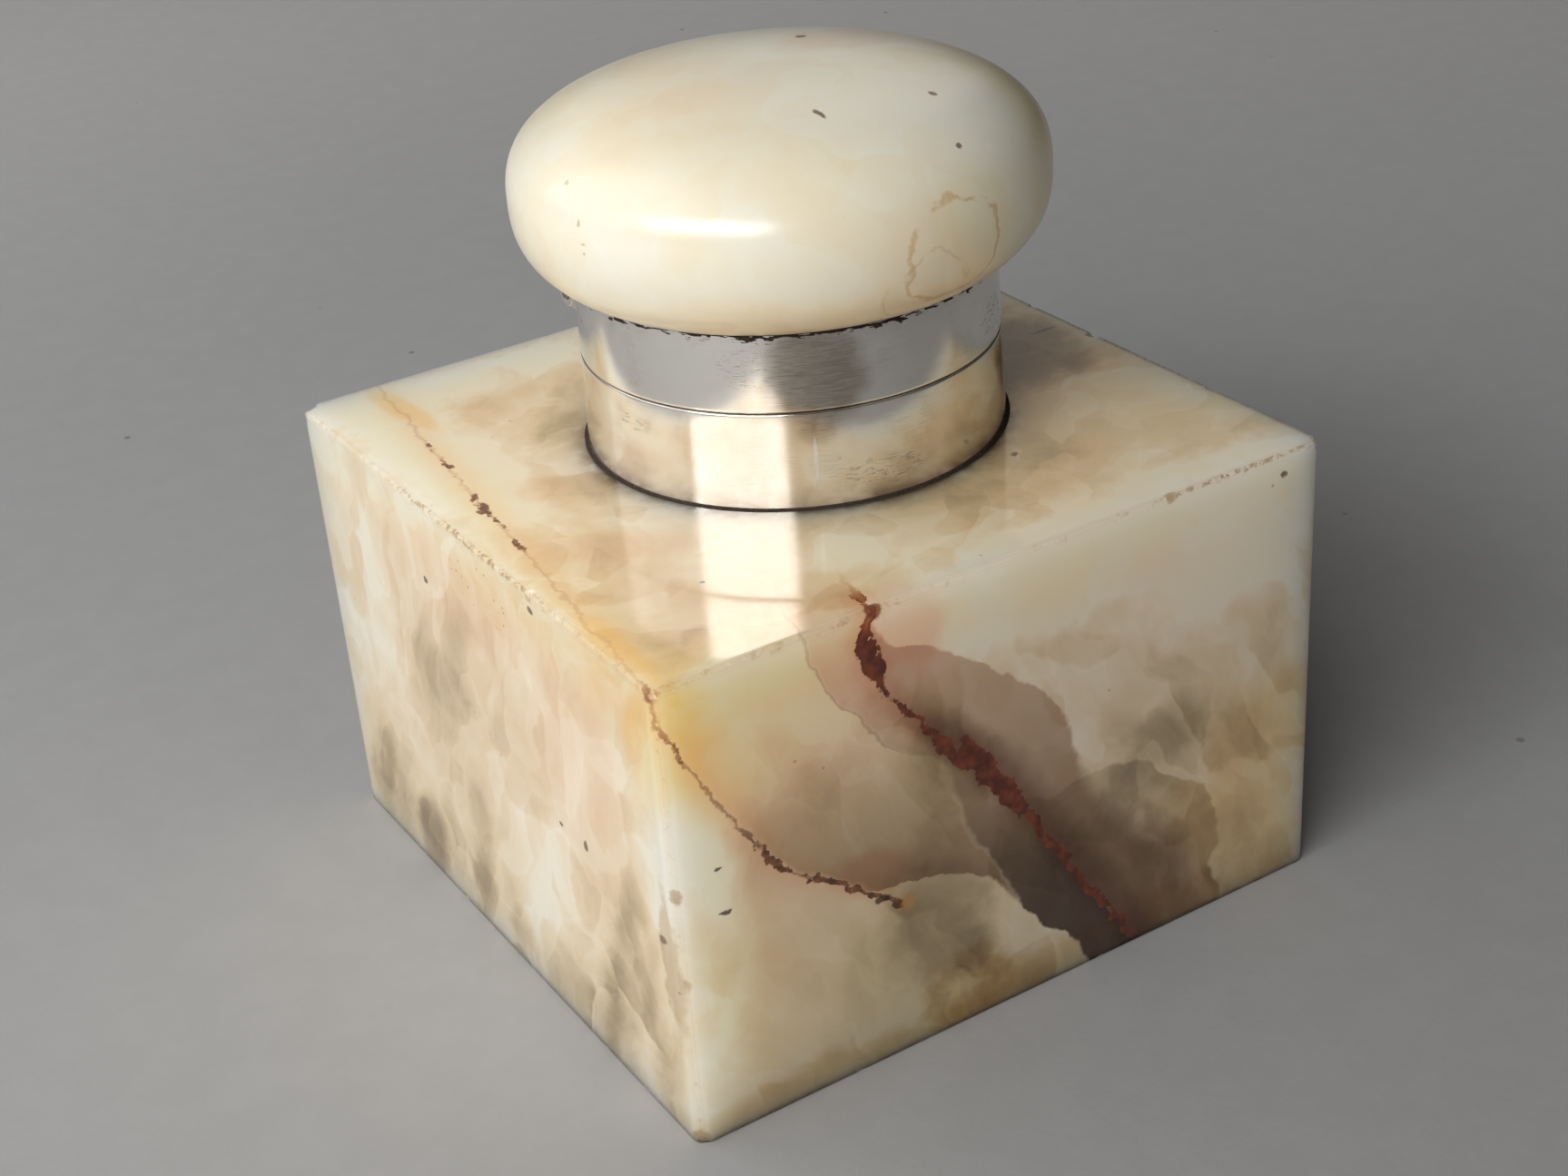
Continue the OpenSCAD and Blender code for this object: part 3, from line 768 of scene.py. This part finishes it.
def pitch():
    g = Graph("pitch")
    lumps = g.noise(0.9, 4, 0.65)
    dust = g.step(g.noise(0.35, 3, 0.7), 0.52, 0.72)
    colour = g.blend(lumps, (0.012, 0.008, 0.006), (0.055, 0.034, 0.022))
    colour = g.paint(colour, dust, 0.35, (0.2, 0.15, 0.11))
    g.shade(Base_Color=colour, Roughness=g.scale_add(lumps, 0.3, 0.6), Specular_IOR_Level=0.25)
    g.bump(g.math("ADD", lumps, g.times(dust, 0.3)), 0.12)
    return g.material


def pot_glass():
    g = Graph("pot_glass")
    ripple = g.noise(7, 2, 0.5, at=g.stretched(1, 1, 0.4))
    g.shade(Base_Color=(0.9, 0.96, 0.94), Roughness=g.scale_add(ripple, 0.05, 0.01),
            Transmission_Weight=1.0, IOR=1.5)
    g.bump(ripple, 0.05)
    return g.material


def pin_wire():
    g = Graph("pin_wire")
    drawn = g.noise(1.0, 3, 0.7, at=g.stretched(0.3, 9, 9))
    colour = g.blend(drawn, (0.20, 0.185, 0.165), (0.42, 0.40, 0.37))
    g.shade(Base_Color=colour, Metallic=1.0, Roughness=g.scale_add(drawn, 0.2, 0.3))
    g.bump(drawn, 0.01)
    return g.material


# Painted shadows: the floor is greyer towards these spots, as (place, reach, how much), in mm; the first is
# the block's shadow on its right, the other two a soft shadow in front of the object, which the silver also
# reflects.
FLOOR_PAINTED_SHADOWS = [((82.0, 2.0, 0.0), 62, 0.34), ((60.0, -230.0, 0.0), 260, 0.6),
                ((-60.0, -170.0, 0.0), 110, 0.6)]


def floor_paper():
    g = Graph("floor_paper")
    mottle = g.noise(160, 3, 0.5)
    colour = g.blend(mottle, (0.385, 0.388, 0.392), (0.415, 0.418, 0.424))
    # Painted light: the floor is paler far from the object, standing for the brighter light on the backdrop.
    far = g.step(g.vector("LENGTH", g.place), 150, 420)
    colour = g.blend(far, colour, (0.54, 0.54, 0.545))
    # Painted shadows: the floor is darkened round each spot.
    for spot, reach, amount in FLOOR_PAINTED_SHADOWS:
        shade = g.step(g.vector("DISTANCE", g.place, spot), reach, reach * 0.25)
        colour = g.darken(colour, shade, amount, (0.5, 0.49, 0.48))
    fibres = g.step(g.noise(6, 4, 0.65), 0.62, 0.4, 0.0, 1.0)
    colour = g.darken(colour, fibres, 0.1, (0.72, 0.71, 0.7))
    dust = g.dots(17, 0.04, 0.02, 30, 0.46, 0.52)
    colour = g.paint(colour, dust, 0.7, (0.16, 0.15, 0.14))
    g.shade(Base_Color=colour, Roughness=0.75)
    g.bump(g.noise(1.4, 3, 0.6), 0.03)
    return g.material


# -------- the block

EDGE_ROUND = 0.3
CORNER_ROUND = 1.4
RANDOM_NICKS = 40
# How far a chip's cutter is moved out of the stone, over its radius.
CHIP_LIFT = 0.28
POT_WELL_R = 18.2
POT_WELL_FLOOR = 8
# The space round the lower collar that the pitch fills.
COLLAR_WELL_GAP = 0.4


def chip_cutter(spot, radius, seed):
    """A rough, slightly squashed ball that leaves a scooped, splintery hollow."""
    bm = bmesh.new()
    bmesh.ops.create_icosphere(bm, subdivisions=2, radius=radius)
    turn = Matrix.Rotation(seed * 1.7, 3, Vector((0.3, 0.8, 0.5)).normalized())
    for vert in bm.verts:
        rough = noise.fractal(vert.co * (1.3 / radius) + Vector((seed * 3.1, 0, 0)), 0.7, 2.0, 3)
        vert.co = turn @ (vert.co * (1 + 0.35 * rough))
        vert.co.x *= 1.25
        vert.co = (vert.co + Vector(spot)) * MM
    mesh = bpy.data.meshes.new("cutter")
    bm.to_mesh(mesh)
    bm.free()
    return new_object("cutter", mesh)


def nick_spots():
    """Small nicks scattered along the twelve edges, the same each run."""
    pick = random.Random(7)
    for _ in range(RANDOM_NICKS):
        along = pick.uniform(-0.96, 0.96)
        axis = pick.choice((0, 1, 2, 0, 1))
        ends = [pick.choice((-1, 1)) for _ in range(3)]
        ends[axis] = along
        spot = (ends[0] * HALF, ends[1] * HALF, TOP / 2 + ends[2] * TOP / 2)
        yield (*spot, pick.uniform(0.18, 0.4))


def well_cutter(radius, floor_z):
    above = TOP + 5
    return lathe("cutter", [(0, floor_z), (radius, floor_z), (radius, above), (0, above)], segments=160)


def stone_block():
    bm = bmesh.new()
    bmesh.ops.create_cube(bm, size=1)
    for vert in bm.verts:
        vert.co = Vector((vert.co.x * 2 * HALF, vert.co.y * 2 * HALF, (vert.co.z + 0.5) * TOP)) * MM
    upright = [e for e in bm.edges if abs(e.verts[0].co.z - e.verts[1].co.z) > TOP * MM / 2]
    bmesh.ops.bevel(bm, geom=upright, offset=CORNER_ROUND * MM, segments=6, profile=0.5, affect="EDGES")
    rims = [e for e in bm.edges if abs(e.verts[0].co.z - e.verts[1].co.z) < 1e-7
            and (len(e.link_faces[0].verts) > 4 or len(e.link_faces[1].verts) > 4)]
    bmesh.ops.bevel(bm, geom=rims, offset=EDGE_ROUND * MM, segments=4, profile=0.5, affect="EDGES")
    piece = finish_mesh("block_stone", bm)
    cutters = [well_cutter(POT_WELL_R, POT_WELL_FLOOR),
               well_cutter(COLLAR_R + COLLAR_WELL_GAP, PITCH_LO.z)]
    for i, (x, y, z, radius) in enumerate([*CHIPS, *nick_spots()]):
        inward = Vector((-math.copysign(1, x) if abs(x) > HALF - 1 else 0,
                         -math.copysign(1, y) if abs(y) > HALF - 1 else 0,
                         -1 if z > TOP - 1 else (1 if z < 1 else 0)))
        spot = Vector((x, y, z)) - inward * radius * CHIP_LIFT
        cutters.append(chip_cutter(spot, radius, i))
    group = bpy.data.collections.new("cutters")
    for cutter in cutters:
        group.objects.link(cutter)
    cut = piece.modifiers.new("cut", "BOOLEAN")
    cut.operation = "DIFFERENCE"
    cut.operand_type = "COLLECTION"
    cut.collection = group
    cut.solver = "MANIFOLD"
    apply_modifiers(piece)
    for cutter in cutters:
        bpy.data.meshes.remove(cutter.data)
    bpy.data.collections.remove(group)
    piece.data.set_sharp_from_angle(angle=math.radians(28))
    for polygon in piece.data.polygons:
        polygon.use_smooth = max(abs(part) for part in polygon.normal) < 0.9999
    piece.modifiers.new("flat_faces", "WEIGHTED_NORMAL").keep_sharp = True
    dress(piece, "base", "onyx_block", block_onyx(), "onyx_block")


# -------- the other pieces

def dress(piece, body, slot, material, *nodes):
    """Gives a piece its material and its body, and hides the CAD nodes that it stands for. slot is not used.
    """
    piece.data.materials.clear()
    piece.data.materials.append(material)
    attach(piece, body)
    if nodes:
        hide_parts(*nodes)
    return piece


# The rounding of the collars' edges where they meet and under the lid.
LIP = 0.17
# The lower collar narrows by WAIST from its foot to the split, and the lid's by as much again.
WAIST = 0.2


def collars(bright, dull_and_dark):
    inner = half_width(SLEEVE_LO, SLEEVE_HI)
    bottom = COLLAR_LO.z
    split_r = COLLAR_R - WAIST
    outline = rounded([(inner, bottom), (COLLAR_R, bottom), (COLLAR_R, TOP), (split_r, SPLIT - 2 * LIP),
                       (split_r, SPLIT, LIP), (inner, SPLIT, 0.15)])
    dress(lathe("collar_band", outline, segments=256, wobble=0.02, seed=3), "base", "silver", bright,
          "lower_collar")
    low, high = LID_COLLAR_LO.z, LID_COLLAR_HI.z
    top_r = split_r - WAIST
    outline = rounded([(PLATE_R, low, 0.15), (split_r, low, LIP), (split_r, low + 2 * LIP),
                       (top_r, high - 2 * LIP), (top_r, high, LIP), (PLATE_R, high)])
    dress(lathe("lid_band", outline, segments=256, wobble=0.02, seed=9), "lid", "silver", bright,
          "lid_collar")
    foot_r, foot_z = 17.4, SPLIT - 5
    bore = inner - 0.8
    outline = rounded([(foot_r, foot_z, 0.2), (inner, foot_z), (inner, SLEEVE_HI.z, 0.25),
                       (bore, SLEEVE_HI.z, 0.25), (bore, foot_z + 1, 0.4), (foot_r, foot_z + 1, 0.3)])
    dress(lathe("sleeve_liner", outline), "base", "silver_gilt", dull_and_dark, "bezel_sleeve")


def lid_disc(dull_and_dark):
    """The dished plate under the lid, with the rings left by its turning."""
    low, high = PLATE_LO.z, PLATE_HI.z
    wall, step = 0.8, 18.6
    under = [(r, low + 0.05 * (1 - math.cos(r * 2.2))) for r in [k * 0.4 for k in range(1, 44)]]
    outline = [(0, low)] + [Vector(p) for p in under] + rounded(
        [(step, low, 0.5), (step, high - wall, 0.3), (PLATE_R, high - wall), (PLATE_R, high),
         (step - wall, high, 0.3), (step - wall, low + wall, 0.3), (1.0, low + wall)]) + [(0, low + wall)]
    dress(lathe("lid_disc", outline), "lid", "silver_gilt", dull_and_dark, "lid_plate")


# The bun is widest DOME_WAIST above its collar. Its profile goes DOME_UP above that and DOME_DOWN below it.
DOME_WAIST = 8.4
DOME_UP = 10.8
DOME_DOWN = 11.4
DOME_POWER = 2.65


def dome(material):
    """The onyx bun: a superellipse turned about the collar's axis, with a spigot below."""
    collar_top = LID_COLLAR_HI.z
    waist = collar_top + DOME_WAIST
    seat = collar_top + 0.24
    spigot_r, spigot_z = 20.3, DOME_LO.z
    steps = 64

    def spot(height, angle):
        return (DOME_R * math.cos(angle) ** (2 / DOME_POWER),
                waist + height * math.sin(angle) ** (2 / DOME_POWER))

    start = math.asin(((waist - seat) / DOME_DOWN) ** (DOME_POWER / 2))
    under = [spot(-DOME_DOWN, start * (1 - k / steps)) for k in range(steps + 1)]
    crown = [spot(DOME_UP, math.pi / 2 * k / steps) for k in range(1, steps)]
    outline = [(0, spigot_z), (spigot_r, spigot_z), (spigot_r, seat), *under, *crown, (0, DOME_HI.z)]
    dress(lathe("lid_stone", outline, segments=256), "lid", "onyx_lid", material, "onyx_lid")


def pot(material):
    radius, rim_r = 16.9, half_width(POT_LO, POT_HI)
    low, high = POT_LO.z, POT_HI.z
    rim_z = high - 2.6
    wall, floor = 2.6, 4.0
    outline = [(0, low + 1.2), (6, low + 0.9)] + rounded(
        [(9, low, 1.0), (radius, low, 3.0), (radius, rim_z, 0.4), (rim_r, rim_z, 0.5), (rim_r, high, 0.8),
         (radius - wall, high, 0.9), (radius - wall, low + floor, 3.5)], steps=8)
    outline += [(5, low + floor - 0.2), (0, low + floor)]
    dress(lathe("glass_pot", outline, segments=160), "pot", "glass", material, "ink_pot")


def hinge(bright, wire):
    """Five turned knuckles on a wire pin, and the two strips that join them to the collars."""
    count, gap, round_over = 5, 0.12, 0.14
    pitch_x = (HINGE_W + gap) / count
    axle = Matrix.Rotation(math.radians(90), 4, "Y")
    origin = Vector((0, 0, 0))
    for node, body, first in (("hinge_knuckles_lower", "base", 0), ("hinge_knuckles_upper", "lid", 1)):
        for i in range(first, count, 2):
            half = (pitch_x - gap) / 2
            bore = PIN_R + 0.02
            outline = rounded([(bore, -half, 0.08), (KNUCKLE_R, -half, round_over),
                               (KNUCKLE_R, half, round_over), (bore, half, 0.08)], steps=4)
            piece = lathe(f"knuckle_{i + 1}", outline, centre=origin, segments=48)
            middle = HINGE + Vector(((i - (count - 1) / 2) * pitch_x, 0, 0))
            piece.data.transform(Matrix.Translation(middle * MM) @ axle)
            dress(piece, body, "silver", bright, node)
    half = half_width(PIN_LO, PIN_HI)
    outline = [(0, -half)] + rounded([(0.3, -half), (PIN_R, -half, 0.2), (PIN_R, half, 0.2), (0.3, half)],
                                     steps=4) + [(0, half)]
    pin = lathe("pin", outline, centre=origin, segments=48)
    pin.data.transform(Matrix.Translation(HINGE * MM) @ axle)
    dress(pin, "base", "hinge_pin", wire, "hinge_pin")
    for node, body in (("hinge_bearer_lower", "base"), ("hinge_bearer_upper", "lid")):
        softened(node, body, bright)


def softened(node, body, material):
    """A copy of a CAD node with its edges eased by a fine bevel."""
    bm = bmesh.new()
    bm.from_mesh(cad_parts[node].data)
    bmesh.ops.remove_doubles(bm, verts=bm.verts, dist=1e-6)
    bmesh.ops.dissolve_limit(bm, angle_limit=math.radians(2), verts=bm.verts, edges=bm.edges)
    piece = finish_mesh(node.replace("hinge_", ""), bm)
    ease = piece.modifiers.new("ease", "BEVEL")
    ease.width = 0.12 * MM
    ease.segments = 3
    ease.limit_method = "ANGLE"
    ease.angle_limit = math.radians(35)
    dress(piece, body, "silver", material, node)


def lid_residue(material):
    """Pitch squeezed out over the lid's collar: a lumpy skin that dives into the metal where it stops."""
    segments, rows = 720, 14
    reach, thickness, seed = 1.35, 0.10, 4.2
    surface = COLLAR_R - 2 * WAIST
    edge_z = LID_COLLAR_HI.z + 0.22
    bm = bmesh.new()
    rays = [Vector((math.cos(math.tau * k / segments), math.sin(math.tau * k / segments), 0))
            for k in range(segments)]

    def ring(radii, z):
        up = Vector((0, 0, z))
        return [bm.verts.new((CENTRE + up + ray * r) * MM) for ray, r in zip(rays, radii)]

    rings = []
    for row in range(rows + 1):
        down = reach * row / rows
        radii = []
        for ray in rays:
            at = ray * surface - Vector((0, 0, down))
            broad = noise.fractal(at * 0.28 + Vector((seed, 0, 0)), 0.8, 2.0, 3)
            torn = noise.fractal(Vector((at.x * 0.8, at.y * 0.8, at.z * 7.0 + seed)), 0.7, 2.1, 4)
            cover = 0.42 + 0.30 * broad - down / reach + 0.75 * torn
            radii.append(surface + thickness * max(-1.0, min(1.0, cover * 2.2)))
        rings.append(ring(radii, edge_z - down))
    for z in (edge_z - reach, edge_z):
        rings.append(ring([surface - 0.25] * segments, z))
    dress(close_rings("lid_residue", bm, rings, segments, 60), "lid", "pitch", material)


def pitch_beds(material):
    lid_residue(material)
    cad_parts["lid_pitch"].data.materials.clear()
    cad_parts["lid_pitch"].data.materials.append(material)
    bed_r = COLLAR_R + 0.48
    wall, inside = COLLAR_R - 0.02, COLLAR_R - 1.18
    inner = COLLAR_R - 2.1
    base = PITCH_LO.z
    foot, lip = base + 0.5, base + 2.2
    outline = rounded([(inner, base), (bed_r, base), (bed_r, TOP - 0.08), (COLLAR_R + 0.2, TOP + 0.1, 0.1),
                       (wall, TOP + 0.2), (wall, foot), (inside, foot), (inside, lip), (inner, lip)], steps=3)
    ring = lathe("collar_bed", outline, segments=256)
    dress(ring, "base", "pitch", material, "collar_pitch")


# -------- floor, light, camera

def floor():
    bm = bmesh.new()
    bmesh.ops.create_circle(bm, cap_ends=True, segments=96, radius=3.0)
    sheet = finish_mesh("floor", bm)
    sheet.data.materials.append(floor_paper())


def lamp(name, azimuth, elevation, distance, width, height, power, colour):
    """A soft rectangular light that faces the object from that direction."""
    a, e = math.radians(azimuth), math.radians(elevation)
    towards = Vector((math.sin(a) * math.cos(e), -math.cos(a) * math.cos(e), math.sin(e)))
    data = bpy.data.lights.new(name, "AREA")
    data.shape = "RECTANGLE"
    data.size, data.size_y = width, height
    data.energy = power
    data.color = colour
    light = bpy.data.objects.new(name, data)
    bpy.context.scene.collection.objects.link(light)
    light.location = Vector((0, 0, TOP * MM)) + towards * distance
    light.rotation_euler = towards.to_track_quat("Z", "Y").to_euler()


# (name, azimuth, elevation, distance, width, height, watts, colour), in degrees and metres.
LAMPS = [
    ("window", -64, 31.0, 1.0, 0.86, 0.33, 9.3, (1.0, 0.995, 0.985)),
    ("side_window", -122, 42, 0.9, 0.9, 0.9, 3.1, (1.0, 0.99, 0.98)),
    ("back_wall", -160, 42, 1.2, 1.0, 0.6, 1.0, (1.0, 0.99, 0.98)),
    ("far_wall", 150, 27, 1.1, 0.8, 0.5, 0.62, (1.0, 0.91, 0.80)),
]
ROOM_COLOUR = (0.5, 0.5, 0.51, 1)
ROOM_STRENGTH = 0.01


def lights():
    for row in LAMPS:
        lamp(*row)
    world = bpy.data.worlds.new("room")
    world.use_nodes = True
    background = world.node_tree.nodes["Background"]
    background.inputs["Color"].default_value = ROOM_COLOUR
    background.inputs["Strength"].default_value = ROOM_STRENGTH
    bpy.context.scene.world = world


# The camera's place in mm, its angles in degrees and its lens in mm.
CAMERA_PLACE = Vector((-116.9, -196.3, 155.2))
CAMERA_ANGLES = (30.36, 28.59, -4.5)
CAMERA_LENS = 55.98


def camera():
    """A camera to the left of the front that looks down at the object, slightly rolled."""
    azimuth, elevation, roll = [math.radians(angle) for angle in CAMERA_ANGLES]
    ahead = Vector((math.sin(azimuth) * math.cos(elevation), math.cos(azimuth) * math.cos(elevation),
                    -math.sin(elevation)))
    data = bpy.data.cameras.new("camera")
    data.sensor_width = 36
    data.lens = CAMERA_LENS
    data.clip_start = 0.01
    eye = bpy.data.objects.new("camera", data)
    bpy.context.scene.collection.objects.link(eye)
    spin = Matrix.Rotation(roll, 4, "Z")
    place = Matrix.Translation(CAMERA_PLACE * MM)
    eye.matrix_world = place @ (-ahead).to_track_quat("Z", "Y").to_matrix().to_4x4() @ spin
    bpy.context.scene.camera = eye
    bpy.context.scene.view_settings.view_transform = "Standard"


def build():
    bright = silver("silver", (0.87, 0.84, 0.79), 0.045, 0.35)
    dull_and_dark = silver("silver_gilt", (0.76, 0.70, 0.58), 0.22, 0.8)
    tar = pitch()
    stone_block()
    collars(bright, dull_and_dark)
    lid_disc(dull_and_dark)
    dome(lid_onyx())
    pot(pot_glass())
    hinge(bright, pin_wire())
    pitch_beds(tar)
    floor()
    lights()
    camera()


build()
